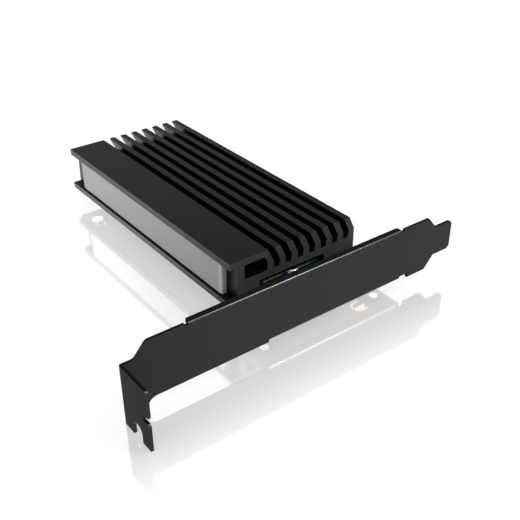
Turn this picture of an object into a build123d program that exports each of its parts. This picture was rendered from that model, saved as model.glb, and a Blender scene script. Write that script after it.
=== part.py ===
from build123d import *
import os

os.makedirs("parts", exist_ok=True)

# The origin is the corner where the bracket's seat face, its outer face and the board's component side meet.
# +X runs along the bracket from its screw tab to its tongue, +Y runs into the machine along the card, and
# +Z is up from the component side. All sizes are in millimetres.

# Bracket
sheet = 0.86
bend_outer_radius = 0.6
bend_inner_radius = 0.2
foot_bend_inner_radius = 0.6
bracket_length = 120.02
strip_width = 18.42
tab_reach = 12.25
tab_height = 19.0
tab_drop = 4.79
tab_slant_start = 3.27
tab_slant_end = 6.99
tab_slant_round = 1.6
tab_web_width = 5.8
tab_web_fillet = 2.74
tab_corner_round = 0.8
screw_slot_width = 4.42
screw_slot_from_face = 6.2
screw_slot_depth = 4.8
tab_notch_depth = 2.6
tab_notch_height = 2.1
tab_notch_above_bottom = 8.6
tongue_width = 10.19
tongue_length = 7.44
tongue_corner = 1.0
shoulder_slope = 3.59
top_lip_depth = 2.2
top_lip_start = 19.4
top_lip_from_tip = 22.96
top_lip_corner = 0.8
lip_relief_width = 1.15
lip_relief_depth = 0.65
foot_relief_left = 0.3
foot_relief_right = 3.3
foot_relief_depth = 1.5
foot_inset_left = 0.71
foot_end_from_shoulder = 11.14
foot_depth = 3.8
ear_depth = 12.6
ear_left_width = 8.2
ear_right_width = 6.2
ear_round = 1.5

# Board
board_thickness = 1.57
board_width = 47.3
board_left = 44.89
board_near = 1.5
board_length = 117.3
board_corner_round = 0.6
wing_past_foot = 2.6
wing_length = 19.3
guide_tab_start = 31.9
guide_tab_width = 8.1
guide_tab_reach = 6.95
guide_tab_clip = 1.8
key_centre = 55.7
key_width = 1.9
key_depth = 8.2
short_run = 11.65
long_run = 21.65
edge_reach = 12.55
edge_clip = 1.3
edge_bevel_length = 1.4
edge_bevel_height = 0.4
finger_pitch = 1.0
finger_width = 0.7
finger_length = 3.9
finger_short_cut = 0.9
finger_from_key = 1.5
short_run_fingers = 11
long_run_fingers = 21
plating = 0.06

# Gold land, indicator lamps and header pads on the component side
land_width = 20.75
land_past_drive = 3.9
land_short_of_socket = 5.9
lamp_count = 6
lamp_pitch = 10.36
lamp_first = 42.9
lamp_from_edge = 1.75
lamp_length = 1.1
lamp_width = 1.0
lamp_height = 0.6
header_from_land = 0.425
header_before_socket = 6.3
header_pitch = 0.8
header_rows = 6
header_pad_length = 0.26
header_pad_width = 0.4
header_row_gap = 0.36

# Socket for the drive
socket_width = 21.9
socket_mouth = 95.2
socket_length = 5.1
socket_height = 4.2
socket_entry = 0.08
socket_end_wall = 0.6
contact_room_height = 0.55
contact_room_end = 0.9
contact_width = 0.24
contact_thickness = 0.12
contact_length = 2.5
contact_tail_length = 0.9
contact_tail_height = 0.14
contact_pitch = 0.5
upper_contact_count = 38
lower_contact_count = 37
key_first = 29
key_count = 4
key_notch_width = 1.2
key_notch_depth = 3.5
key_rib_gap = 0.15
socket_tab_width = 1.2
socket_tab_length = 2.6
socket_tab_rise = 1.5
socket_tab_sheet = 0.25

# Drive
drive_width = 22.0
drive_length = 80.0
drive_thickness = 0.8
drive_above_board = 2.45
drive_tongue_width = 19.85
drive_tongue_length = 4.0
drive_shoulder_gap = 0.1
drive_tongue_clip = 0.5
drive_hole_diameter = 3.5
drive_pad_length = 2.0
drive_pad_width = 0.35
drive_pad_from_end = 0.55
package_height = 1.35
far_package_length = 11.5
far_package_width = 13.0
far_package_from_shoulder = 2.1
far_package_pitch = 13.0
far_package_count = 2
controller_length = 12.0
controller_width = 12.0
controller_gap = 1.6
near_package_length = 18.0
near_package_width = 14.0
near_package_start = 6.5
chip_length = 1.6
chip_width = 0.8
chip_height = 0.8
chip_pitch_along = 3.1
chip_pitch_across = 3.2
chip_columns = 6
chip_gap = 1.5

# Standoff and drive screw
standoff_diameter = 5.0
standoff_collar_diameter = 3.3
standoff_collar_height = 0.75
standoff_bore = 1.7
drive_screw_diameter = 1.6
drive_screw_head = 4.6
drive_screw_head_height = 1.0
drive_screw_length = 2.6
screw_recess_width = 0.7
screw_recess_depth = 0.45

# Heat sink
sink_overhang = 0.55
sink_height = 15.0
sink_far_overhang = 0.1
sink_near = 17.2
sink_lip_thickness = 2.22
channel_depth = 2.6
channel_draft = 0.16
channel_foot_thickness = 1.61
foot_overhang = 0.46
hook_drop = 0.65
hook_thickness = 0.95
hook_taper = 0.25
hook_draft = 0.15
recess_left_gap = 2.45
left_step_width = 3.4
left_step_rise = 3.07
base_underside_rise = 5.55
recess_right_gap = 0.78
right_step_width = 3.65
right_step_rise = 2.95
knee_drop = 4.56
fin_lean = 2.18
top_plate_width = 13.78
groove_pitch = 4.63
groove_mouth = 2.37
groove_floor = 2.12
groove_depth = 7.05
duct_start = 5.24
duct_width = 8.44
duct_drop = 2.2
duct_height = 4.83
duct_chamfer_width = 1.18
duct_chamfer_height = 1.86

# Light bar
bar_length = 89.0
bar_near = 22.5
bar_gap = 0.05
bar_recess = 0.1
bar_bevel = 0.7
lamp_slot_width = 1.8
lamp_slot_margin = 2.4

# Slots and screws that hold the heat sink and the bracket
sink_slot_from_edge = 2.95
sink_slot_near = 24.3
sink_slot_from_far_end = 8.8
sink_slot_length = 7.0
sink_slot_width = 2.2
rim_width = 0.5
sink_screw_diameter = 2.0
sink_screw_head = 3.8
sink_screw_head_height = 1.3
sink_screw_grip = 3.0
screw_clearance = 0.05
tapped_depth_spare = 0.4
bracket_screw_diameter = 2.9
bracket_screw_head = 5.4
bracket_screw_head_height = 1.9
bracket_screw_end = 0.8
bracket_screw_y = 8.0
bracket_screw_inset_left = 4.14
bracket_screw_inset_right = 2.65
board_hole_width = 3.5
board_hole_left_length = 3.5
board_hole_right_length = 11.6
board_hole_right_spare = 3.3
board_rim_width = 0.8

# Pads
pad_width = 18.5
pad_from_drive_end = 4.3
pad_socket_gap = 0.5

# Derived sizes shared by several pieces
card_centre = board_left + board_width / 2
board_right = board_left + board_width
board_far = board_near + board_length
board_underside = -board_thickness
strip_bottom = board_underside - sheet
strip_top = strip_bottom + strip_width
strip_middle = (strip_bottom + strip_top) / 2
tab_bottom = strip_bottom - tab_drop
tab_top = tab_bottom + tab_height
tongue_tip = bracket_length - sheet
top_lip_end = tongue_tip - top_lip_from_tip
shoulder_end = tongue_tip - tongue_length
shoulder_start = shoulder_end - shoulder_slope
foot_bend_outer_radius = foot_bend_inner_radius + sheet
edge_start = key_centre - key_width / 2 - short_run
edge_end = key_centre + key_width / 2 + long_run
edge_outer = board_right + edge_reach
foot_start = board_left + foot_inset_left
foot_end = shoulder_start - foot_end_from_shoulder
wing_reach = foot_end + wing_past_foot - board_right
bracket_screw_left = foot_start + bracket_screw_inset_left
bracket_screw_right = foot_end - bracket_screw_inset_right
board_hole_right_middle = bracket_screw_right + board_hole_right_spare - board_hole_right_length / 2
sink_left = board_left - sink_overhang
sink_right = board_right + sink_overhang
sink_base = plating
sink_top = sink_base + sink_height
sink_length = board_far + sink_far_overhang - sink_near
base_underside = sink_base + base_underside_rise
channel_bottom = sink_base + channel_foot_thickness
channel_top = sink_top - sink_lip_thickness
recess_left = card_centre - drive_width / 2 - recess_left_gap
recess_right = card_centre + drive_width / 2 + recess_right_gap
groove_count = int((sink_right - sink_left - fin_lean - top_plate_width) / groove_pitch)
slot_xs = (board_left + sink_slot_from_edge, board_right - sink_slot_from_edge)
slot_ys = (sink_slot_near, board_far - sink_slot_from_far_end)
slot_places = [(x, y) for x in slot_xs for y in slot_ys]
lamp_x = board_left + lamp_from_edge
drive_tip = socket_mouth + drive_tongue_length - drive_shoulder_gap
drive_near = drive_tip - drive_length
drive_shoulder = drive_tip - drive_tongue_length
drive_top = drive_above_board + drive_thickness
package_top = drive_top + package_height
lower_pad_top = drive_above_board - package_height
pad_near = drive_near + pad_from_drive_end
land_near = drive_near - land_past_drive
land_far = socket_mouth - land_short_of_socket
header_x = card_centre - land_width / 2 - header_from_land
header_far = socket_mouth - header_before_socket
key_x = card_centre - (upper_contact_count - 1) * contact_pitch / 2
key_x += (key_first + (key_count - 1) / 2) * contact_pitch + contact_pitch / 4
near_package_end = drive_near + near_package_start + near_package_length
far_package_last = drive_shoulder - far_package_from_shoulder - far_package_length / 2
far_package_first = far_package_last - (far_package_count - 1) * far_package_pitch
controller_end = far_package_first - far_package_length / 2 - controller_gap
controller_middle = controller_end - controller_length / 2
chip_room = controller_end - controller_length - near_package_end - 2 * chip_gap
chip_rows = int(chip_room / chip_pitch_along) + 1


# A round-ended slot on the current plane, long along Y, or along X when flat is true
def rounded_slot(length, width, flat=False):
    if length > width:
        SlotOverall(length, width, rotation=0 if flat else 90)
    else:
        Circle(width / 2)


# Places along X of one row of the drive's contacts, leaving out those that the key takes
def row_positions(count):
    first = card_centre - (count - 1) * contact_pitch / 2
    kept = [i for i in range(count) if not key_first <= i < key_first + key_count]
    return [first + i * contact_pitch for i in kept]


# Bracket: one bent sheet with a screw tab at one end and a tongue at the other
with BuildPart() as bracket:
    with BuildSketch(Plane.XY.offset(tab_bottom)):
        with BuildLine():
            Polyline(
                (-sheet, -tab_reach),
                (-sheet, sheet),
                (tongue_tip, sheet),
                (tongue_tip, 0),
                (0, 0),
                (0, -tab_reach),
                close=True,
            )
        make_face()
    extrude(amount=strip_top - tab_bottom)
    tall = bracket.edges().filter_by(Axis.Z)
    outer_bend = tall.sort_by(Axis.X)[:2].sort_by(Axis.Y)[-1]
    fillet(outer_bend, radius=bend_outer_radius)
    tall = bracket.edges().filter_by(Axis.Z)
    inner_bend = [e for e in tall if abs(e.center().X) < sheet / 4 and abs(e.center().Y) < sheet / 4]
    fillet(inner_bend, radius=bend_inner_radius)
    # The face outline: tab corner, straight top, sloping shoulders, tongue, web and lower edge
    with BuildSketch(Plane.XZ.offset(tab_reach)) as face_outline:
        with BuildLine():
            Polyline(
                (-sheet, tab_bottom),
                (-sheet, tab_top),
                (tab_slant_start, tab_top),
                (tab_slant_end, strip_top),
                (shoulder_start, strip_top),
                (shoulder_end, strip_middle + tongue_width / 2),
                (tongue_tip, strip_middle + tongue_width / 2),
                (tongue_tip, strip_middle - tongue_width / 2),
                (shoulder_end, strip_middle - tongue_width / 2),
                (shoulder_start, strip_bottom),
                (tab_web_width, strip_bottom),
                (tab_web_width, tab_bottom),
                close=True,
            )
        make_face()
        corners = face_outline.vertices()
        upper_corners = [v for v in corners if v.Y > strip_middle]
        slant_corners = [v for v in upper_corners if -sheet / 2 < v.X < (tab_slant_end + shoulder_start) / 2]
        fillet(slant_corners, radius=tab_slant_round)
        corners = face_outline.vertices()
        web_side = [v for v in corners if abs(v.X - tab_web_width) < sheet / 2]
        web_corner = [v for v in web_side if abs(v.Y - strip_bottom) < sheet / 2]
        fillet(web_corner, radius=tab_web_fillet)
        corners = face_outline.vertices()
        tip_corners = [v for v in corners if v.X > tongue_tip - sheet / 2]
        chamfer(tip_corners, length=tongue_corner)
    extrude(amount=-(tab_reach + sheet), mode=Mode.INTERSECT)
    # Screw slot, guide notch and rounded corners of the tab
    with BuildSketch(Plane.YZ.offset(-sheet)):
        with Locations((-screw_slot_from_face, tab_bottom)):
            SlotOverall(2 * screw_slot_depth, screw_slot_width, rotation=90)
        with Locations((-tab_reach, tab_bottom + tab_notch_above_bottom + tab_notch_height / 2)):
            Rectangle(2 * tab_notch_depth, tab_notch_height)
    extrude(amount=sheet, mode=Mode.SUBTRACT)
    crosswise = bracket.edges().filter_by(Axis.X)
    tab_corners = [e for e in crosswise if e.center().X < 0 and e.center().Y < sheet / 2 - tab_reach]
    fillet([tab_corners[0], tab_corners[-1]], radius=tab_corner_round)
    # Reliefs beside the two folded edges
    with BuildSketch(Plane.XZ):
        with Locations((top_lip_start, strip_top)):
            Rectangle(lip_relief_width, 2 * lip_relief_depth, align=(Align.MAX, Align.CENTER))
        with Locations((top_lip_end, strip_top)):
            Rectangle(lip_relief_width, 2 * lip_relief_depth, align=(Align.MIN, Align.CENTER))
        with Locations((foot_start, strip_bottom)):
            Rectangle(foot_relief_left, 2 * foot_relief_depth, align=(Align.MAX, Align.CENTER))
        with Locations((foot_end, strip_bottom)):
            Rectangle(foot_relief_right, 2 * foot_relief_depth, align=(Align.MIN, Align.CENTER))
    extrude(amount=-sheet, mode=Mode.SUBTRACT)
    # Lip folded back along the top edge
    with BuildSketch(Plane.YZ.offset(top_lip_start)):
        with Locations((0, strip_top)):
            Rectangle(top_lip_depth, sheet, align=(Align.MIN, Align.MAX))
    extrude(amount=top_lip_end - top_lip_start)
    uprights = bracket.edges().filter_by(Axis.Z)
    lip_corners = [e for e in uprights if e.center().Y > sheet and e.center().Z > strip_middle]
    fillet(lip_corners, radius=top_lip_corner)
    # Foot folded back under the board, with an ear at each end
    with BuildSketch(Plane.XY.offset(strip_bottom)) as foot_outline:
        with Locations((foot_start, 0)):
            Rectangle(foot_end - foot_start, foot_depth, align=(Align.MIN, Align.MIN))
            Rectangle(ear_left_width, ear_depth, align=(Align.MIN, Align.MIN))
        with Locations((foot_end, 0)):
            Rectangle(ear_right_width, ear_depth, align=(Align.MAX, Align.MIN))
        ear_corners = [v for v in foot_outline.vertices() if v.Y > foot_depth + ear_round]
        fillet(ear_corners, radius=ear_round)
    extrude(amount=sheet)
    # Rounds along both folds, on the outer face and behind it
    for depth, height, radius, start, end in (
        (0, strip_top, bend_outer_radius, top_lip_start, top_lip_end),
        (sheet, strip_top - sheet, bend_inner_radius, top_lip_start, top_lip_end),
        (0, strip_bottom, foot_bend_outer_radius, foot_start, foot_end),
        (sheet, strip_bottom + sheet, foot_bend_inner_radius, foot_start, foot_end),
    ):
        fold_edges = [
            e
            for e in bracket.edges().filter_by(Axis.X)
            if abs(e.center().Y - depth) < sheet / 8
            and abs(e.center().Z - height) < sheet / 8
            and start < e.center().X < end
        ]
        fillet(fold_edges, radius=radius)
    # Tapped holes in the ears
    with BuildSketch(Plane.XY.offset(strip_bottom)):
        with Locations((bracket_screw_left, bracket_screw_y), (bracket_screw_right, bracket_screw_y)):
            Circle(bracket_screw_diameter / 2 + screw_clearance)
    extrude(amount=sheet, mode=Mode.SUBTRACT)
bracket.part.label = "bracket"
export_step(bracket.part, "parts/bracket.step")

# Screws through the board into the bracket's ears
with BuildPart() as bracket_screws:
    with BuildSketch(Plane.XY.offset(strip_bottom - bracket_screw_end)):
        with Locations((bracket_screw_left, bracket_screw_y), (bracket_screw_right, bracket_screw_y)):
            Circle(bracket_screw_diameter / 2)
    extrude(amount=bracket_screw_end + sheet + board_thickness + plating)
    with BuildSketch(Plane.XY.offset(plating)):
        with Locations((bracket_screw_left, bracket_screw_y), (bracket_screw_right, bracket_screw_y)):
            Circle(bracket_screw_head / 2)
    extrude(amount=bracket_screw_head_height)
    crowns = bracket_screws.edges().filter_by(GeomType.CIRCLE).group_by(Axis.Z)[-1]
    chamfer(crowns, length=bracket_screw_head_height / 3)
    with BuildSketch(Plane.XY.offset(plating + bracket_screw_head_height)):
        with Locations((bracket_screw_left, bracket_screw_y), (bracket_screw_right, bracket_screw_y)):
            Rectangle(bracket_screw_diameter, screw_recess_width)
            Rectangle(screw_recess_width, bracket_screw_diameter)
    extrude(amount=-screw_recess_depth, mode=Mode.SUBTRACT)
bracket_screws.part.label = "bracket_screws"
export_step(bracket_screws.part, "parts/bracket_screws.step")

# Bare board with its wing behind the bracket, guide tab and keyed edge
with BuildPart() as adapter_board:
    with BuildSketch(Plane.XY.offset(board_underside)) as board_outline:
        with Locations((board_left, board_near)):
            Rectangle(board_width, board_length, align=(Align.MIN, Align.MIN))
            Rectangle(board_width + wing_reach, wing_length, align=(Align.MIN, Align.MIN))
        fillet(board_outline.vertices().group_by(Axis.Y)[-1], radius=board_corner_round)
        with Locations((card_centre, guide_tab_start)):
            Rectangle(board_width / 2 + guide_tab_reach, guide_tab_width, align=(Align.MIN, Align.MIN))
        guide_end = board_right + guide_tab_reach
        guide_corners = [v for v in board_outline.vertices() if abs(v.X - guide_end) < plating]
        chamfer(guide_corners, length=guide_tab_clip)
        with Locations((card_centre, edge_start)):
            Rectangle(board_width / 2 + edge_reach, edge_end - edge_start, align=(Align.MIN, Align.MIN))
        edge_corners = [v for v in board_outline.vertices() if abs(v.X - edge_outer) < plating]
        chamfer(edge_corners, length=edge_clip)
        with Locations((edge_outer, key_centre)):
            SlotOverall(2 * key_depth, key_width, mode=Mode.SUBTRACT)
    extrude(amount=board_thickness)
    with BuildSketch(Plane.XZ.offset(-edge_start)):
        for face_height, inward in ((0, -edge_bevel_height), (board_underside, edge_bevel_height)):
            with BuildLine():
                Polyline(
                    (edge_outer - edge_bevel_length, face_height),
                    (edge_outer, face_height),
                    (edge_outer, face_height + inward),
                    close=True,
                )
            make_face()
    extrude(amount=edge_start - edge_end, mode=Mode.SUBTRACT)
    with BuildSketch(Plane.XY.offset(board_underside)):
        with Locations(*slot_places):
            rounded_slot(sink_slot_length, sink_slot_width)
        with Locations((bracket_screw_left, bracket_screw_y)):
            rounded_slot(board_hole_left_length, board_hole_width, flat=True)
        with Locations((board_hole_right_middle, bracket_screw_y)):
            rounded_slot(board_hole_right_length, board_hole_width, flat=True)
    extrude(amount=board_thickness, mode=Mode.SUBTRACT)
adapter_board.part.label = "adapter_board"
export_step(adapter_board.part, "parts/adapter_board.step")


# Outlines of one side's edge contacts, which stop at the bevel
def finger_row(height):
    reach = edge_outer - edge_bevel_length
    near = [key_centre - finger_from_key - i * finger_pitch for i in range(short_run_fingers)]
    far = [key_centre + finger_from_key + i * finger_pitch for i in range(long_run_fingers)]
    short = (near[-1], far[-2])
    with BuildSketch(Plane.XY.offset(height)) as fingers:
        for y in near + far:
            trim = finger_short_cut if y in short else 0
            with Locations((reach - trim, y)):
                Rectangle(finger_length - trim, finger_width, align=(Align.MAX, Align.CENTER))
    return fingers.sketch


with BuildPart() as edge_contacts_front:
    extrude(finger_row(0), amount=plating)
edge_contacts_front.part.label = "edge_contacts_front"
export_step(edge_contacts_front.part, "parts/edge_contacts_front.step")

with BuildPart() as edge_contacts_back:
    extrude(finger_row(board_underside - plating), amount=plating)
edge_contacts_back.part.label = "edge_contacts_back"
export_step(edge_contacts_back.part, "parts/edge_contacts_back.step")

# Bare gold land under the drive
with BuildPart() as thermal_land:
    with BuildSketch():
        with Locations((card_centre, land_near)):
            Rectangle(land_width, land_far - land_near, align=(Align.CENTER, Align.MIN))
    extrude(amount=plating)
thermal_land.part.label = "thermal_land"
export_step(thermal_land.part, "parts/thermal_land.step")

# Plated rims round the slots and the bracket's holes, on the component side and beneath
with BuildPart() as slot_rims:
    for height in (0, board_underside - plating):
        with BuildSketch(Plane.XY.offset(height)):
            with Locations(*slot_places):
                rounded_slot(sink_slot_length + 2 * rim_width, sink_slot_width + 2 * rim_width)
            if height == 0:
                rim_across = board_hole_width + 2 * board_rim_width
                with Locations((bracket_screw_left, bracket_screw_y)):
                    rounded_slot(board_hole_left_length + 2 * board_rim_width, rim_across, flat=True)
                with Locations((board_hole_right_middle, bracket_screw_y)):
                    rounded_slot(board_hole_right_length + 2 * board_rim_width, rim_across, flat=True)
        extrude(amount=plating)
    with BuildSketch(Plane.XY.offset(board_underside - plating)):
        with Locations(*slot_places):
            rounded_slot(sink_slot_length, sink_slot_width)
        with Locations((bracket_screw_left, bracket_screw_y)):
            rounded_slot(board_hole_left_length, board_hole_width, flat=True)
        with Locations((board_hole_right_middle, bracket_screw_y)):
            rounded_slot(board_hole_right_length, board_hole_width, flat=True)
    extrude(amount=board_thickness + 2 * plating, mode=Mode.SUBTRACT)
slot_rims.part.label = "slot_rims"
export_step(slot_rims.part, "parts/slot_rims.step")

# Two rows of small header pads beside the socket
with BuildPart() as header_pads:
    with BuildSketch():
        for i in range(header_rows):
            with Locations(
                (header_x - header_row_gap / 2, header_far - i * header_pitch),
                (header_x + header_row_gap / 2, header_far - i * header_pitch),
            ):
                Rectangle(header_pad_length, header_pad_width)
    extrude(amount=plating)
header_pads.part.label = "header_pads"
export_step(header_pads.part, "parts/header_pads.step")

# Indicator lamps that shine up into the light bar
with BuildPart() as indicator_lamps:
    with BuildSketch():
        for i in range(lamp_count):
            with Locations((lamp_x, lamp_first + i * lamp_pitch)):
                Rectangle(lamp_width, lamp_length)
    extrude(amount=lamp_height)
indicator_lamps.part.label = "indicator_lamps"
export_step(indicator_lamps.part, "parts/indicator_lamps.step")

# Socket housing with a keyed entry and a room for each row of contacts
entry_bottom = drive_above_board - socket_entry
entry_top = drive_top + socket_entry
entry_length = drive_tongue_length
with BuildPart() as socket_housing:
    with BuildSketch():
        with Locations((card_centre, socket_mouth)):
            Rectangle(socket_width, socket_length, align=(Align.CENTER, Align.MIN))
    extrude(amount=socket_height)
    uprights = socket_housing.edges().filter_by(Axis.Z).group_by(Axis.Y)[-1]
    chamfer(uprights, length=socket_end_wall)
    with BuildSketch(Plane.XY.offset(entry_bottom)):
        with Locations((card_centre, socket_mouth)):
            Rectangle(drive_tongue_width + 2 * key_rib_gap, entry_length, align=(Align.CENTER, Align.MIN))
        with Locations((key_x, socket_mouth + entry_length)):
            Rectangle(
                key_notch_width - 2 * key_rib_gap,
                key_notch_depth - key_rib_gap,
                align=(Align.CENTER, Align.MAX),
                mode=Mode.SUBTRACT,
            )
    extrude(amount=entry_top - entry_bottom, mode=Mode.SUBTRACT)
    for room_bottom in (entry_bottom - contact_room_height, entry_top):
        with BuildSketch(Plane.XY.offset(room_bottom)):
            with Locations((card_centre, socket_mouth)):
                Rectangle(
                    socket_width - 2 * contact_room_end - 2 * socket_end_wall,
                    entry_length - socket_end_wall,
                    align=(Align.CENTER, Align.MIN),
                )
            with Locations((key_x, socket_mouth)):
                Rectangle(
                    key_notch_width - 2 * key_rib_gap,
                    entry_length,
                    align=(Align.CENTER, Align.MIN),
                    mode=Mode.SUBTRACT,
                )
        extrude(amount=contact_room_height, mode=Mode.SUBTRACT)
socket_housing.part.label = "socket_housing"
export_step(socket_housing.part, "parts/socket_housing.step")

# Spring contacts that press on the drive's edge, and their soldered tails behind the housing
room_end = socket_mouth + entry_length - socket_end_wall
with BuildPart() as socket_contacts:
    with BuildSketch(Plane.XY.offset(drive_top + plating)):
        for x in row_positions(upper_contact_count):
            with Locations((x, room_end)):
                Rectangle(contact_width, contact_length, align=(Align.CENTER, Align.MAX))
    extrude(amount=contact_thickness)
    with BuildSketch(Plane.XY.offset(drive_above_board - plating - contact_thickness)):
        for x in row_positions(lower_contact_count):
            with Locations((x, room_end)):
                Rectangle(contact_width, contact_length, align=(Align.CENTER, Align.MAX))
    extrude(amount=contact_thickness)
    with BuildSketch():
        for x in row_positions(upper_contact_count):
            with Locations((x, socket_mouth + socket_length)):
                Rectangle(contact_width, contact_tail_length, align=(Align.CENTER, Align.MIN))
    extrude(amount=contact_tail_height)
socket_contacts.part.label = "socket_contacts"
export_step(socket_contacts.part, "parts/socket_contacts.step")

# Soldered hold-down tabs at the socket's two ends
with BuildPart() as socket_tabs:
    for side in (-1, 1):
        with BuildSketch(Plane.XZ.offset(-(socket_mouth + socket_length / 2 + socket_tab_length / 2))):
            with BuildLine():
                Polyline(
                    (card_centre + side * socket_width / 2, 0),
                    (card_centre + side * (socket_width / 2 + socket_tab_width), 0),
                    (card_centre + side * (socket_width / 2 + socket_tab_width), socket_tab_sheet),
                    (card_centre + side * (socket_width / 2 + socket_tab_sheet), socket_tab_sheet),
                    (card_centre + side * (socket_width / 2 + socket_tab_sheet), socket_tab_rise),
                    (card_centre + side * socket_width / 2, socket_tab_rise),
                    close=True,
                )
            make_face()
        extrude(amount=socket_tab_length)
socket_tabs.part.label = "socket_tabs"
export_step(socket_tabs.part, "parts/socket_tabs.step")

# Drive board with its tongue, key notch and screw recess
with BuildPart() as drive_board:
    with BuildSketch(Plane.XY.offset(drive_above_board)) as drive_outline:
        with Locations((card_centre, drive_near)):
            Rectangle(drive_width, drive_length - drive_tongue_length, align=(Align.CENTER, Align.MIN))
            Rectangle(drive_tongue_width, drive_length, align=(Align.CENTER, Align.MIN))
        chamfer(drive_outline.vertices().group_by(Axis.Y)[-1], length=drive_tongue_clip)
        with Locations((key_x, drive_tip)):
            SlotOverall(2 * key_notch_depth, key_notch_width, rotation=90, mode=Mode.SUBTRACT)
        with Locations((card_centre, drive_near)):
            Circle(drive_hole_diameter / 2, mode=Mode.SUBTRACT)
    extrude(amount=drive_thickness)
drive_board.part.label = "drive_board"
export_step(drive_board.part, "parts/drive_board.step")

# Standoff that carries the drive's near end, with a collar inside the drive's screw recess
with BuildPart() as drive_standoff:
    with BuildSketch(Plane.XY.offset(plating)):
        with Locations((card_centre, drive_near)):
            Circle(standoff_diameter / 2)
    extrude(amount=drive_above_board - plating)
    with BuildSketch(Plane.XY.offset(drive_above_board)):
        with Locations((card_centre, drive_near)):
            Circle(standoff_collar_diameter / 2)
    extrude(amount=standoff_collar_height)
    with BuildSketch(Plane.XY.offset(drive_above_board + standoff_collar_height)):
        with Locations((card_centre, drive_near)):
            Circle(standoff_bore / 2)
    extrude(amount=-(drive_screw_length + screw_clearance), mode=Mode.SUBTRACT)
drive_standoff.part.label = "drive_standoff"
export_step(drive_standoff.part, "parts/drive_standoff.step")

# Screw that clamps the drive on the standoff
with BuildPart() as drive_screw:
    with BuildSketch(Plane.XY.offset(drive_top)):
        with Locations((card_centre, drive_near)):
            Circle(drive_screw_head / 2)
    extrude(amount=drive_screw_head_height)
    crown = drive_screw.edges().filter_by(GeomType.CIRCLE).group_by(Axis.Z)[-1]
    chamfer(crown, length=drive_screw_head_height / 3)
    with BuildSketch(Plane.XY.offset(drive_top)):
        with Locations((card_centre, drive_near)):
            Circle(drive_screw_diameter / 2)
    extrude(amount=-drive_screw_length)
    with BuildSketch(Plane.XY.offset(drive_top + drive_screw_head_height)):
        with Locations((card_centre, drive_near)):
            Rectangle(drive_screw_head / 2, screw_recess_width)
            Rectangle(screw_recess_width, drive_screw_head / 2)
    extrude(amount=-screw_recess_depth, mode=Mode.SUBTRACT)
drive_screw.part.label = "drive_screw"
export_step(drive_screw.part, "parts/drive_screw.step")


# Memory packages on both faces of the drive, and its controller
far_package_ys = [far_package_first + i * far_package_pitch for i in range(far_package_count)]
far_package_places = [(card_centre, y) for y in far_package_ys]
near_package_place = (card_centre, near_package_end - near_package_length / 2)


# Outlines of the memory packages on one face of the drive
def packages(height):
    with BuildSketch(Plane.XY.offset(height)) as outlines:
        with Locations(near_package_place):
            Rectangle(near_package_width, near_package_length)
        with Locations(*far_package_places):
            Rectangle(far_package_width, far_package_length)
    return outlines.sketch


with BuildPart() as packages_upper:
    extrude(packages(drive_top), amount=package_height)
packages_upper.part.label = "packages_upper"
export_step(packages_upper.part, "parts/packages_upper.step")

with BuildPart() as packages_lower:
    extrude(packages(lower_pad_top), amount=package_height)
packages_lower.part.label = "packages_lower"
export_step(packages_lower.part, "parts/packages_lower.step")

with BuildPart() as drive_controller:
    with BuildSketch(Plane.XY.offset(drive_top)):
        with Locations((card_centre, controller_middle)):
            Rectangle(controller_width, controller_length)
    extrude(amount=package_height)
drive_controller.part.label = "drive_controller"
export_step(drive_controller.part, "parts/drive_controller.step")

# Gold pads of both rows on the drive's tongue
with BuildPart() as drive_contacts:
    lower_face = drive_above_board - plating
    for count, height in ((upper_contact_count, drive_top), (lower_contact_count, lower_face)):
        with BuildSketch(Plane.XY.offset(height)):
            for x in row_positions(count):
                with Locations((x, drive_tip - drive_pad_from_end)):
                    Rectangle(drive_pad_width, drive_pad_length, align=(Align.CENTER, Align.MAX))
        extrude(amount=plating)
drive_contacts.part.label = "drive_contacts"
export_step(drive_contacts.part, "parts/drive_contacts.step")

# Capacitors between the packages
with BuildPart() as drive_small_parts:
    with BuildSketch(Plane.XY.offset(drive_top)):
        for row in range(chip_rows):
            for column in range(chip_columns):
                with Locations(
                    (
                        card_centre + (column - (chip_columns - 1) / 2) * chip_pitch_across,
                        near_package_end + chip_gap + chip_width / 2 + row * chip_pitch_along,
                    )
                ):
                    Rectangle(chip_length, chip_width)
    extrude(amount=chip_height)
drive_small_parts.part.label = "drive_small_parts"
export_step(drive_small_parts.part, "parts/drive_small_parts.step")

# Thermal pads below and above the drive
pad_length = socket_mouth - pad_socket_gap - pad_near
with BuildPart() as lower_thermal_pad:
    with BuildSketch(Plane.XY.offset(plating)):
        with Locations((card_centre, pad_near)):
            Rectangle(pad_width, pad_length, align=(Align.CENTER, Align.MIN))
    extrude(amount=lower_pad_top - plating)
lower_thermal_pad.part.label = "lower_thermal_pad"
export_step(lower_thermal_pad.part, "parts/lower_thermal_pad.step")

with BuildPart() as upper_thermal_pad:
    with BuildSketch(Plane.XY.offset(package_top)):
        with Locations((card_centre, pad_near)):
            Rectangle(pad_width, pad_length, align=(Align.CENTER, Align.MIN))
    extrude(amount=base_underside - package_top)
upper_thermal_pad.part.label = "upper_thermal_pad"
export_step(upper_thermal_pad.part, "parts/upper_thermal_pad.step")

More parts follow.
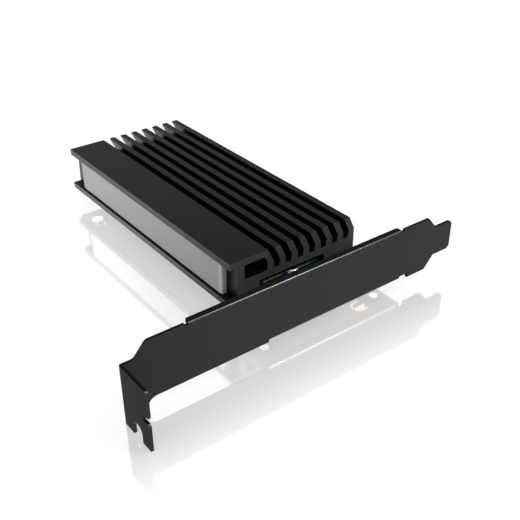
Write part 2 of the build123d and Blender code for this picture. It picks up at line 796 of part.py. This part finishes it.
# Finned heat sink: one extruded section with leaning fins, an air duct, the light bar's channel and two legs
groove_floor_height = sink_top - groove_depth
knee_height = sink_top - knee_drop
with BuildPart() as heatsink:
    with BuildSketch(Plane.XZ.offset(-sink_near)) as sink_section:
        with BuildLine():
            Polyline(
                (sink_left, sink_top),
                (sink_right - fin_lean, sink_top),
                (sink_right, knee_height),
                (sink_right, sink_base),
                (recess_right + right_step_width, sink_base),
                (recess_right + right_step_width, sink_base + right_step_rise),
                (recess_right, sink_base + right_step_rise),
                (recess_right, base_underside),
                (recess_left, base_underside),
                (recess_left, sink_base + left_step_rise),
                (recess_left - left_step_width, sink_base + left_step_rise),
                (recess_left - left_step_width, sink_base),
                (sink_left - foot_overhang + hook_thickness, sink_base),
                (sink_left - foot_overhang + hook_thickness, sink_base + hook_draft - hook_drop),
                (sink_left - foot_overhang + hook_taper, sink_base - hook_drop),
                (sink_left - foot_overhang, channel_bottom),
                (sink_left + channel_depth - channel_draft, channel_bottom),
                (sink_left + channel_depth + channel_draft, channel_top),
                (sink_left, channel_top),
                close=True,
            )
        make_face()
        for i in range(groove_count):
            groove_left = sink_left + top_plate_width + i * groove_pitch
            with BuildLine():
                Polyline(
                    (groove_left, sink_top),
                    (groove_left + groove_mouth, sink_top),
                    (groove_left + groove_mouth + fin_lean, knee_height),
                    (groove_left + groove_floor + fin_lean, groove_floor_height),
                    (groove_left + fin_lean, groove_floor_height),
                    (groove_left + fin_lean, knee_height),
                    close=True,
                )
            make_face(mode=Mode.SUBTRACT)
        duct_left = sink_left + duct_start
        duct_top = sink_top - duct_drop
        with BuildLine():
            Polyline(
                (duct_left, duct_top),
                (duct_left + duct_width - duct_chamfer_width, duct_top),
                (duct_left + duct_width, duct_top - duct_chamfer_height),
                (duct_left + duct_width, duct_top - duct_height),
                (duct_left, duct_top - duct_height),
                close=True,
            )
        make_face(mode=Mode.SUBTRACT)
    extrude(amount=-sink_length)
    # Tapped holes for the screws from below
    with BuildSketch(Plane.XY.offset(sink_base)):
        with Locations(*slot_places):
            Circle(sink_screw_diameter / 2 + screw_clearance)
    extrude(amount=sink_screw_grip, mode=Mode.SUBTRACT)
    # Slot over the lamps, through the foot into the light bar's channel
    with BuildSketch(Plane.XY.offset(sink_base)):
        with Locations((lamp_x, lamp_first - lamp_slot_margin)):
            Rectangle(
                lamp_slot_width,
                (lamp_count - 1) * lamp_pitch + 2 * lamp_slot_margin,
                align=(Align.CENTER, Align.MIN),
            )
    extrude(amount=channel_foot_thickness, mode=Mode.SUBTRACT)
heatsink.part.label = "heatsink"
export_step(heatsink.part, "parts/heatsink.step")

# Frosted light bar in the heat sink's channel
with BuildPart() as light_bar:
    with BuildSketch(Plane.XZ.offset(-bar_near)):
        with BuildLine():
            Polyline(
                (sink_left + bar_recess, channel_bottom),
                (sink_left + bar_recess, channel_top),
                (sink_left + channel_depth + channel_draft - bar_gap, channel_top),
                (sink_left + channel_depth - channel_draft - bar_gap, channel_bottom),
                close=True,
            )
        make_face()
    extrude(amount=-bar_length)
    bar_face_edges = light_bar.faces().sort_by(Axis.X)[0].edges().sort_by(Axis.Z)
    chamfer(bar_face_edges[:-1], length=bar_bevel)
light_bar.part.label = "light_bar"
export_step(light_bar.part, "parts/light_bar.step")

# Screws from below through the board's slots into the heat sink's legs
screw_seat = board_underside - plating
with BuildPart() as heatsink_screws:
    with BuildSketch(Plane.XY.offset(screw_seat)):
        with Locations(*slot_places):
            Circle(sink_screw_head / 2)
    extrude(amount=-sink_screw_head_height)
    with BuildSketch(Plane.XY.offset(screw_seat)):
        with Locations(*slot_places):
            Circle(sink_screw_diameter / 2)
    extrude(amount=sink_base - screw_seat + sink_screw_grip - tapped_depth_spare)
    with BuildSketch(Plane.XY.offset(screw_seat - sink_screw_head_height)):
        with Locations(*slot_places):
            Rectangle(sink_screw_diameter, screw_recess_width)
            Rectangle(screw_recess_width, sink_screw_diameter)
    extrude(amount=screw_recess_depth, mode=Mode.SUBTRACT)
heatsink_screws.part.label = "heatsink_screws"
export_step(heatsink_screws.part, "parts/heatsink_screws.step")
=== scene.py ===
import math

import bmesh
import bpy
from mathutils import Matrix, Vector


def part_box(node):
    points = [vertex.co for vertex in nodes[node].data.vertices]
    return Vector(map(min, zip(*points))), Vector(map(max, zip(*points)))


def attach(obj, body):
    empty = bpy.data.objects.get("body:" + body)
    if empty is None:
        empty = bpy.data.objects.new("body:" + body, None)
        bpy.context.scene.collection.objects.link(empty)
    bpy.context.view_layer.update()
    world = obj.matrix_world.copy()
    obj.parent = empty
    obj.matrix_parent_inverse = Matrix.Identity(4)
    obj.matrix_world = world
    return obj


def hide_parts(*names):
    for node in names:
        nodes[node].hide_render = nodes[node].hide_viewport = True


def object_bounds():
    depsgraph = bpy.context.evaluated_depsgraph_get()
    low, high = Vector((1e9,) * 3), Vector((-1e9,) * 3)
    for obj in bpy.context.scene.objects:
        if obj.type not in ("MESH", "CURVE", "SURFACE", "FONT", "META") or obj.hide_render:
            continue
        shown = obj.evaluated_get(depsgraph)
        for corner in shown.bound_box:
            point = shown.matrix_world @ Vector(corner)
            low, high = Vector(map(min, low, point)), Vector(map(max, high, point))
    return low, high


# The adapter card as the photograph shows it: camera, materials, nodes with softened edges, the board's
# copper lines, plated holes and rim, floor and soft light. Lengths are metres in the part's frame.
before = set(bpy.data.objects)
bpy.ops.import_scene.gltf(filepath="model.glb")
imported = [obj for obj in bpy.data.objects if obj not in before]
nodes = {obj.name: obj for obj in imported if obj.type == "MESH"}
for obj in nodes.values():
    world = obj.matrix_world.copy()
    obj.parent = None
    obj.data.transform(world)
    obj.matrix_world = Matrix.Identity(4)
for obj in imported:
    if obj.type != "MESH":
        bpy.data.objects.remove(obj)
cad_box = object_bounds()
mm = 0.001
scene = bpy.context.scene

# Camera at the photograph's viewing angle, its place and turn solved from the bracket's standard sizes
camera_data = bpy.data.cameras.new("camera")
camera_data.sensor_width = 36
camera_data.lens = 56.043
camera_data.clip_start = 0.01
camera_data.clip_end = 20
camera = bpy.data.objects.new("camera", camera_data)
scene.collection.objects.link(camera)
camera.matrix_world = Matrix((
    (0.796604, 0.322571, -0.511243, -66.111 * mm),
    (-0.604477, 0.417422, -0.678503, -143.793 * mm),
    (-0.005462, 0.849533, 0.527507, 137.793 * mm),
    (0, 0, 0, 1),
))
scene.camera = camera


# Helpers for materials: t is a node tree, p its principled shader and where its object coordinates
def shader(name, color, rough, metallic=0.0, spec=0.5):
    """A new material with its plain values, which links to the same sockets take over from."""
    look = bpy.data.materials.new(name)
    look.use_nodes = True
    t = look.node_tree
    p = t.nodes["Principled BSDF"]
    p.inputs["Base Color"].default_value = (*color, 1)
    p.inputs["Roughness"].default_value = rough
    p.inputs["Metallic"].default_value = metallic
    p.inputs["Specular IOR Level"].default_value = spec
    coordinates = t.nodes.new("ShaderNodeTexCoord")
    return look, t, p, coordinates.outputs["Object"]


def wire(t, p, color=None, rough=None, metallic=None, normal=None):
    """Links what is given to the shader's own sockets."""
    sockets = {"Base Color": color, "Roughness": rough, "Metallic": metallic, "Normal": normal}
    for socket, value in sockets.items():
        if value is not None:
            t.links.new(value, p.inputs[socket])


def axes(t, vector):
    """The outputs X, Y and Z of a vector."""
    parts = t.nodes.new("ShaderNodeSeparateXYZ")
    t.links.new(vector, parts.inputs["Vector"])
    return parts.outputs


def noise(t, where, scale, detail, stretch=(1, 1, 1)):
    """Noise with a scale in features per millimetre, drawn out along an axis by a stretch under one."""
    mapping = t.nodes.new("ShaderNodeMapping")
    mapping.inputs["Scale"].default_value = [scale * s / mm for s in stretch]
    t.links.new(where, mapping.inputs["Vector"])
    texture = t.nodes.new("ShaderNodeTexNoise")
    texture.inputs["Scale"].default_value = 1.0
    texture.inputs["Detail"].default_value = detail
    t.links.new(mapping.outputs["Vector"], texture.inputs["Vector"])
    return texture.outputs["Fac"]


def ramp(t, value, low, high, start=0.0, end=1.0):
    """Goes from low to high while the value goes from start to end, and stays level outside."""
    remap = t.nodes.new("ShaderNodeMapRange")
    remap.inputs["From Min"].default_value = start
    remap.inputs["From Max"].default_value = end
    remap.inputs["To Min"].default_value = low
    remap.inputs["To Max"].default_value = high
    t.links.new(value, remap.inputs["Value"])
    return remap.outputs["Result"]


def spread(t, value, low, high):
    """Noise, which lies mostly from 0.3 to 0.7, drawn out to the range from low to high."""
    return ramp(t, value, low, high, 0.3, 0.7)


def join(t, operation, a, b):
    """Two values joined by a math operation."""
    both = t.nodes.new("ShaderNodeMath")
    both.operation = operation
    t.links.new(a, both.inputs[0])
    t.links.new(b, both.inputs[1])
    return both.outputs[0]


def blend(t, factor, a, b):
    """A colour between a and b, each of which is three numbers or the output of a node."""
    mix = t.nodes.new("ShaderNodeMix")
    mix.data_type = "RGBA"
    for socket, color in (("A", a), ("B", b)):
        if isinstance(color, tuple):
            mix.inputs[socket].default_value = (*color, 1)
        else:
            t.links.new(color, mix.inputs[socket])
    t.links.new(factor, mix.inputs["Factor"])
    return mix.outputs["Result"]


def mottled(t, value, a, b):
    """A colour that noise moves between a and b."""
    return blend(t, spread(t, value, 0, 1), a, b)


def bump(t, height, distance, strength=1.0, over=None):
    """A bump whose distance is in millimetres, over another bump if one is given."""
    relief = t.nodes.new("ShaderNodeBump")
    relief.inputs["Distance"].default_value = distance * mm
    relief.inputs["Strength"].default_value = strength
    t.links.new(height, relief.inputs["Height"])
    if over is not None:
        t.links.new(over, relief.inputs["Normal"])
    return relief.outputs["Normal"]


def facing(t, axis, start=0.8, end=0.95):
    """1 where the surface faces along an axis of the part, either way."""
    geometry = t.nodes.new("ShaderNodeNewGeometry")
    size = t.nodes.new("ShaderNodeMath")
    size.operation = "ABSOLUTE"
    t.links.new(axes(t, geometry.outputs["True Normal"])[axis], size.inputs[0])
    return ramp(t, size.outputs[0], 0, 1, start, end)


# Black anodised aluminium: extrusion lines along Y on the long faces, saw marks on the two cut ends, and
# painted light that makes the two cut ends lighter
anodised, t, p, where = shader("anodised_aluminium", (0.012, 0.012, 0.0125), 0.4, spec=0.11)
drawn = noise(t, where, 9, 3, (1, 0.006, 1))
sawn = noise(t, where, 7, 3, (0.04, 1, 1))
grain = noise(t, where, 26, 2)
# The cut ends: saw marks in the bump, and painted light that makes their colour lighter
sawn_end_painted_lighter = facing(t, "Y")
marks = t.nodes.new("ShaderNodeMix")
t.links.new(sawn_end_painted_lighter, marks.inputs["Factor"])
t.links.new(drawn, marks.inputs["A"])
t.links.new(sawn, marks.inputs["B"])
wire(
    t, p,
    color=blend(t, sawn_end_painted_lighter, (0.005, 0.005, 0.0053), (0.092, 0.092, 0.0935)),
    rough=join(t, "ADD", spread(t, drawn, 0.28, 0.36), spread(t, grain, -0.02, 0.03)),
    normal=bump(t, grain, 0.004, 0.5, over=bump(t, marks.outputs["Result"], 0.008)),
)

# Black powder coat on steel: painted shade where it faces along Z or X, and a painted highlight along the
# folds, which are also smoother and metallic
powder, t, p, where = shader("powder_coat", (0.028, 0.028, 0.029), 0.42, spec=0.03)
peel = noise(t, where, 3.2, 2)
fine = noise(t, where, 14, 2)
# Painted highlight along the folds: a lighter colour, less roughness and metallic there
painted_fold_highlight = join(t, "MULTIPLY", facing(t, "Z", 0.2, 0.6), facing(t, "Y", 0.2, 0.6))
off_fold = ramp(t, painted_fold_highlight, 1, 0)
# Painted shade: faces along Z or X darker than the faces along Y
painted_shade_z_or_x = join(t, "MAXIMUM", facing(t, "Z"), facing(t, "X"))
coat = mottled(t, peel, (0.033, 0.033, 0.0335), (0.037, 0.037, 0.0375))
coat = blend(t, painted_shade_z_or_x, coat, (0.006, 0.006, 0.0062))
peel_bump = bump(t, join(t, "MULTIPLY", peel, off_fold), 0.01, 0.6)
wire(
    t, p,
    color=blend(t, painted_fold_highlight, coat, (0.155, 0.155, 0.155)),
    rough=join(t, "SUBTRACT", spread(t, fine, 0.40, 0.45), ramp(t, painted_fold_highlight, 0, 0.2)),
    metallic=painted_fold_highlight,
    normal=bump(t, join(t, "MULTIPLY", fine, off_fold), 0.004, 0.6, over=peel_bump),
)

# Black solder mask over glass laminate, whose cut edge is dull
mask, t, p, where = shader("board_mask", (0.0075, 0.0075, 0.0085), 0.36, spec=0.45)
weave = noise(t, where, 2.2, 2)
fine = noise(t, where, 11, 3)
masked = facing(t, "Z", 0.5, 0.7)
wire(
    t, p,
    color=blend(t, masked, (0.05, 0.048, 0.044), (0.0072, 0.0072, 0.0082)),
    rough=join(t, "ADD", ramp(t, masked, 0.62, 0.33), spread(t, fine, -0.03, 0.05)),
    normal=bump(t, fine, 0.003, 0.4, over=bump(t, weave, 0.006, 0.5)),
)

# Gold plate
gold, t, p, where = shader("gold_plate", (0.80, 0.58, 0.22), 0.3, metallic=1.0)
worn = noise(t, where, 1.3, 4)
fine = noise(t, where, 16, 3)
wire(
    t, p,
    color=mottled(t, worn, (0.72, 0.50, 0.17), (0.86, 0.65, 0.30)),
    rough=join(t, "ADD", spread(t, worn, 0.24, 0.34), spread(t, fine, -0.03, 0.04)),
    normal=bump(t, fine, 0.002, 0.5),
)

# Bright zinc on screws and standoff
zinc, t, p, where = shader("bright_zinc", (0.78, 0.78, 0.80), 0.22, metallic=1.0)
turned = noise(t, where, 12, 3, (1, 1, 6))
wire(
    t, p,
    color=mottled(t, turned, (0.70, 0.70, 0.72), (0.84, 0.84, 0.86)),
    rough=spread(t, turned, 0.16, 0.32),
    normal=bump(t, turned, 0.003, 0.5),
)

# Tin plate on the socket's tabs
tin, t, p, where = shader("tin_plate", (0.7, 0.7, 0.68), 0.35, metallic=1.0)
dull = noise(t, where, 8, 3)
wire(t, p, rough=spread(t, dull, 0.28, 0.5), normal=bump(t, dull, 0.004, 0.5))

# Frosted light guide: painted light makes its face grow lighter away from the bracket and upwards, and a
# painted highlight makes its bevels lightest
frosted, t, p, where = shader("frosted_plastic", (0.62, 0.62, 0.64), 0.5)
bar_near, bar_far = 20 * mm, 112 * mm
bar_low, bar_high = 2 * mm, 13 * mm
share_along, share_up = 0.8, 0.2
cloud = noise(t, where, 0.5, 2)
frost = noise(t, where, 20, 3)
# Painted light: lighter away from the bracket and upwards, with some random tone added
along = ramp(t, axes(t, where)["Y"], 0, share_along, bar_near, bar_far)
upwards = ramp(t, axes(t, where)["Z"], 0, share_up, bar_low, bar_high)
painted_light_and_cloud = join(t, "ADD", join(t, "ADD", along, upwards), spread(t, cloud, -0.03, 0.03))
face = blend(t, painted_light_and_cloud, (0.24, 0.24, 0.246), (0.43, 0.43, 0.437))
# Painted highlight on the bevels
painted_bevel_highlight = join(t, "MAXIMUM", facing(t, "Z", 0.3, 0.5), facing(t, "Y", 0.3, 0.5))
wire(
    t, p,
    color=blend(t, painted_bevel_highlight, face, (0.62, 0.62, 0.63)),
    rough=spread(t, frost, 0.42, 0.58),
    normal=bump(t, frost, 0.0015, 0.5),
)
p.inputs["Subsurface Weight"].default_value = 0.3
p.inputs["Subsurface Radius"].default_value = (2 * mm, 2 * mm, 2 * mm)
p.inputs["Subsurface Scale"].default_value = 1.0

# White lamp bodies
lamp, t, p, where = shader("lamp_white", (0.85, 0.85, 0.80), 0.3)
cloud = noise(t, where, 3, 2)
wire(t, p, color=mottled(t, cloud, (0.80, 0.80, 0.74), (0.90, 0.90, 0.86)))

# Moulded black plastic of the socket
moulded, t, p, where = shader("moulded_black", (0.014, 0.014, 0.015), 0.45)
spark = noise(t, where, 12, 3)
wire(t, p, rough=spread(t, spark, 0.38, 0.56), normal=bump(t, spark, 0.006, 0.6))

# Matt epoxy of the packages
epoxy, t, p, where = shader("package_epoxy", (0.016, 0.016, 0.017), 0.6)
sand = noise(t, where, 14, 3)
wire(t, p, rough=spread(t, sand, 0.52, 0.68), normal=bump(t, sand, 0.008, 0.6))

# Green solder mask of the drive, darker between the areas of copper
green, t, p, where = shader("drive_mask", (0.0, 0.13, 0.05), 0.3)
pour = noise(t, where, 0.9, 3)
fine = noise(t, where, 12, 3)
over_copper = ramp(t, pour, 0, 1, 0.45, 0.55)
wire(
    t, p,
    color=blend(t, over_copper, (0.0, 0.105, 0.04), (0.004, 0.16, 0.068)),
    rough=spread(t, fine, 0.26, 0.4),
    normal=bump(t, fine, 0.003, 0.5, over=bump(t, pour, 0.02, 0.5)),
)

# Capacitors: fired ceramic bodies
ceramic, t, p, where = shader("small_parts", (0.32, 0.22, 0.14), 0.5)
speck = noise(t, where, 5, 2)
wire(t, p, color=mottled(t, speck, (0.26, 0.18, 0.11), (0.40, 0.29, 0.19)))

# Soft grey silicone of the pads
silicone, t, p, where = shader("pad_silicone", (0.33, 0.335, 0.35), 0.7, spec=0.3)
weave = noise(t, where, 4, 3)
wire(
    t, p,
    color=mottled(t, weave, (0.29, 0.295, 0.31), (0.37, 0.375, 0.39)),
    normal=bump(t, weave, 0.03, 0.6),
)

# The material of each node
looks = {
    "bracket": powder,
    "bracket_screws": zinc,
    "adapter_board": mask,
    "edge_contacts_front": gold,
    "edge_contacts_back": gold,
    "thermal_land": gold,
    "slot_rims": gold,
    "header_pads": gold,
    "indicator_lamps": lamp,
    "socket_housing": moulded,
    "socket_contacts": gold,
    "socket_tabs": tin,
    "drive_standoff": zinc,
    "drive_screw": zinc,
    "drive_board": green,
    "drive_contacts": gold,
    "packages_upper": epoxy,
    "packages_lower": epoxy,
    "drive_controller": epoxy,
    "drive_small_parts": ceramic,
    "lower_thermal_pad": silicone,
    "upper_thermal_pad": silicone,
    "heatsink": anodised,
    "light_bar": frosted,
    "heatsink_screws": zinc,
}
for name, obj in nodes.items():
    obj.data.materials.clear()
    obj.data.materials.append(looks[name])

# Nodes that get worn-soft edges: the width of a rounded edge in millimetres, and its segments
softened = {
    "heatsink": (0.1, 2),
    "bracket": (0.12, 2),
    "light_bar": (0.12, 2),
    "adapter_board": (0.06, 1),
    "bracket_screws": (0.1, 2),
    "heatsink_screws": (0.08, 2),
    "drive_screw": (0.08, 2),
    "drive_standoff": (0.05, 2),
    "socket_housing": (0.06, 1),
}
weld_distance = 0.002 * mm
flat_angle = math.radians(0.6)
soft_angle = math.radians(25)


def dressed(node, width, segments):
    """A new piece with the CAD node's shape and rounded edges. It replaces the node."""
    work = bmesh.new()
    work.from_mesh(nodes[node].data)
    bmesh.ops.remove_doubles(work, verts=work.verts, dist=weld_distance)
    bmesh.ops.dissolve_limit(work, angle_limit=flat_angle, verts=work.verts, edges=work.edges)
    mesh = bpy.data.meshes.new(node + "_dressed")
    work.to_mesh(mesh)
    work.free()
    mesh.materials.append(looks[node])
    mesh.shade_smooth()
    piece = bpy.data.objects.new(node + "_dressed", mesh)
    scene.collection.objects.link(piece)
    soft = piece.modifiers.new("soft_edges", "BEVEL")
    soft.width = width * mm
    soft.segments = segments
    soft.limit_method = "ANGLE"
    soft.angle_limit = soft_angle
    level_faces = piece.modifiers.new("level_faces", "WEIGHTED_NORMAL")
    level_faces.keep_sharp = True
    bpy.context.view_layer.update()
    evaluated = piece.evaluated_get(bpy.context.evaluated_depsgraph_get())
    done = bpy.data.meshes.new_from_object(evaluated)
    piece.modifiers.clear()
    piece.data = done
    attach(piece, "root")
    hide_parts(node)


for node, (width, segments) in softened.items():
    dressed(node, width, segments)

# Copper lines under the mask, from the edge contacts to plated holes on both faces of the board. They end a
# little inside the heat sink's edge on the top and further inwards on the underside, in staggered rows.
board_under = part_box("adapter_board")[0][2]
board_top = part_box("adapter_board")[1][2]
contact_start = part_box("edge_contacts_front")[0][0]
sink_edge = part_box("heatsink")[1][0]
copper_height = 0.03 * mm
line_width = 0.26 * mm
hole_outer = 0.42 * mm
hole_inner = 0.2 * mm
hole_sides = 14
top_inset = 1.2 * mm
top_stagger = 0.9 * mm
top_rows = 3
under_inset = 6 * mm
under_stagger = 2.5 * mm
under_rows = 4


def slab(work, x0, x1, y0, y1, z0, z1):
    """A thin closed strip between two corners."""
    sides = ((x0, y0), (x1, y0), (x1, y1), (x0, y1))
    corners = [work.verts.new((x, y, z)) for z in (z0, z1) for x, y in sides]
    for i in range(4):
        j = (i + 1) % 4
        work.faces.new((corners[i], corners[j], corners[4 + j], corners[4 + i]))
    work.faces.new(corners[3::-1])
    work.faces.new(corners[4:])


def ring(work, x, y, z0, z1):
    """A thin flat ring, which is the land round a plated hole."""
    turn = [2 * math.pi * i / hole_sides for i in range(hole_sides)]
    rows = []
    for radius, z in ((hole_inner, z0), (hole_outer, z0), (hole_outer, z1), (hole_inner, z1)):
        points = [(x + radius * math.cos(a), y + radius * math.sin(a)) for a in turn]
        rows.append([work.verts.new((px, py, z)) for px, py in points])
    for i in range(hole_sides):
        j = (i + 1) % hole_sides
        for low, high in ((0, 1), (1, 2), (2, 3), (3, 0)):
            work.faces.new((rows[low][i], rows[high][i], rows[high][j], rows[low][j]))


def added(name, work, look):
    """A new piece of the scene from a finished mesh."""
    bmesh.ops.recalc_face_normals(work, faces=work.faces)
    mesh = bpy.data.meshes.new(name)
    work.to_mesh(mesh)
    work.free()
    mesh.materials.append(look)
    piece = bpy.data.objects.new(name, mesh)
    scene.collection.objects.link(piece)
    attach(piece, "root")


# The contacts' sides along Y in millimetres, read from the CAD node, come in pairs
contact_sides = sorted({round(v.co.y / mm, 2) for v in nodes["edge_contacts_front"].data.vertices})
contact_ys = [(a + b) / 2 * mm for a, b in zip(contact_sides[::2], contact_sides[1::2])]
line_work = bmesh.new()
hole_work = bmesh.new()
for i, y in enumerate(contact_ys):
    top_end = sink_edge - top_inset - top_stagger * (i % top_rows)
    under_end = top_end - under_inset - under_stagger * (i % under_rows)
    for end, z in ((top_end, board_top), (under_end, board_under - copper_height)):
        slab(line_work, end, contact_start, y - line_width / 2, y + line_width / 2, z, z + copper_height)
        ring(hole_work, end - hole_outer, y, z, z + copper_height)
added("board_lines", line_work, mask)

# Gold rim under the board round the part of the bracket's long hole that its ear leaves open
rim_x = 87.79 * mm
rim_y = 8.0 * mm
rim_end = 90.6 * mm
rim_inner = 1.75 * mm
rim_outer = 2.55 * mm
rim_steps = 20


def rim_line(work, radius, z):
    """Half a circle round the rim's centre, with a straight run to the rim's end on each side."""
    turn = [math.pi / 2 + math.pi * i / rim_steps for i in range(rim_steps + 1)]
    points = [(rim_end, rim_y + radius)]
    points += [(rim_x + radius * math.cos(a), rim_y + radius * math.sin(a)) for a in turn]
    points += [(rim_end, rim_y - radius)]
    return [work.verts.new((x, y, z)) for x, y in points]


rim_work = bmesh.new()
rim_under = board_under - copper_height
rim_lines = [
    rim_line(rim_work, rim_inner, rim_under),
    rim_line(rim_work, rim_outer, rim_under),
    rim_line(rim_work, rim_outer, board_under),
    rim_line(rim_work, rim_inner, board_under),
]
for a, b in zip(rim_lines, rim_lines[1:] + rim_lines[:1]):
    for i in range(len(a) - 1):
        rim_work.faces.new((a[i], b[i], b[i + 1], a[i + 1]))
for end in (0, -1):
    rim_work.faces.new([line[end] for line in rim_lines])
added("bracket_hole_rim", rim_work, gold)
added("plated_holes", hole_work, gold)

# Pale floor, whose reflection is clear under the bracket and fades towards the camera
floor_half = 6.0
floor_z = cad_box[0][2]
fade_from, fade_to = -36 * mm, -8 * mm
mirror_least, mirror_most = 0.1, 0.75
mesh = bpy.data.meshes.new("floor")
quarters = ((-1, -1), (1, -1), (1, 1), (-1, 1))
floor_corners = [(x * floor_half, y * floor_half, floor_z) for x, y in quarters]
mesh.from_pydata(floor_corners, [], [(0, 1, 2, 3)])
floor = bpy.data.objects.new("floor", mesh)
scene.collection.objects.link(floor)
white, t, p, where = shader("floor_white", (0.93, 0.93, 0.93), 0.09, spec=0.3)
wire(t, p, metallic=ramp(t, axes(t, where)["Y"], mirror_least, mirror_most, fade_from, fade_to))
p.inputs["Emission Color"].default_value = (1, 1, 1, 1)
p.inputs["Emission Strength"].default_value = 0.5
mesh.materials.append(white)

# The studio's walls are light grey, a little brighter low down
wall_low, wall_high = 0.66, 0.47
wall_top = 0.6
world = bpy.data.worlds.new("studio")
scene.world = world
world.use_nodes = True
t = world.node_tree
sky = t.nodes.new("ShaderNodeTexCoord")
background = t.nodes["Background"]
background.inputs["Color"].default_value = (1, 1, 1, 1)
height = axes(t, sky.outputs["Generated"])["Z"]
t.links.new(ramp(t, height, wall_low, wall_high, 0, wall_top), background.inputs["Strength"])


def area(name, place, aim, size, energy, opening=180):
    """A soft square light, whose opening is the angle in degrees that its light spreads over."""
    data = bpy.data.lights.new(name, "AREA")
    data.shape = "SQUARE"
    data.size = size
    data.energy = energy
    data.spread = math.radians(opening)
    obj = bpy.data.objects.new(name, data)
    scene.collection.objects.link(obj)
    obj.location = place
    obj.rotation_euler = (Vector(aim) - Vector(place)).to_track_quat("-Z", "Y").to_euler()


area("overhead_soft", (0.05, -0.05, 0.9), (0.05, 0.0, 0.0), size=0.8, energy=3)
area("left_back_soft", (-0.04, 0.25, 0.085), (0.03, 0.10, -0.02), size=0.12, energy=0.013, opening=65)
area("right_front_soft", (0.47, -0.42, 0.54), (0.06, 0.0, 0.0), size=0.12, energy=0.9)
scene.view_settings.view_transform = "Standard"
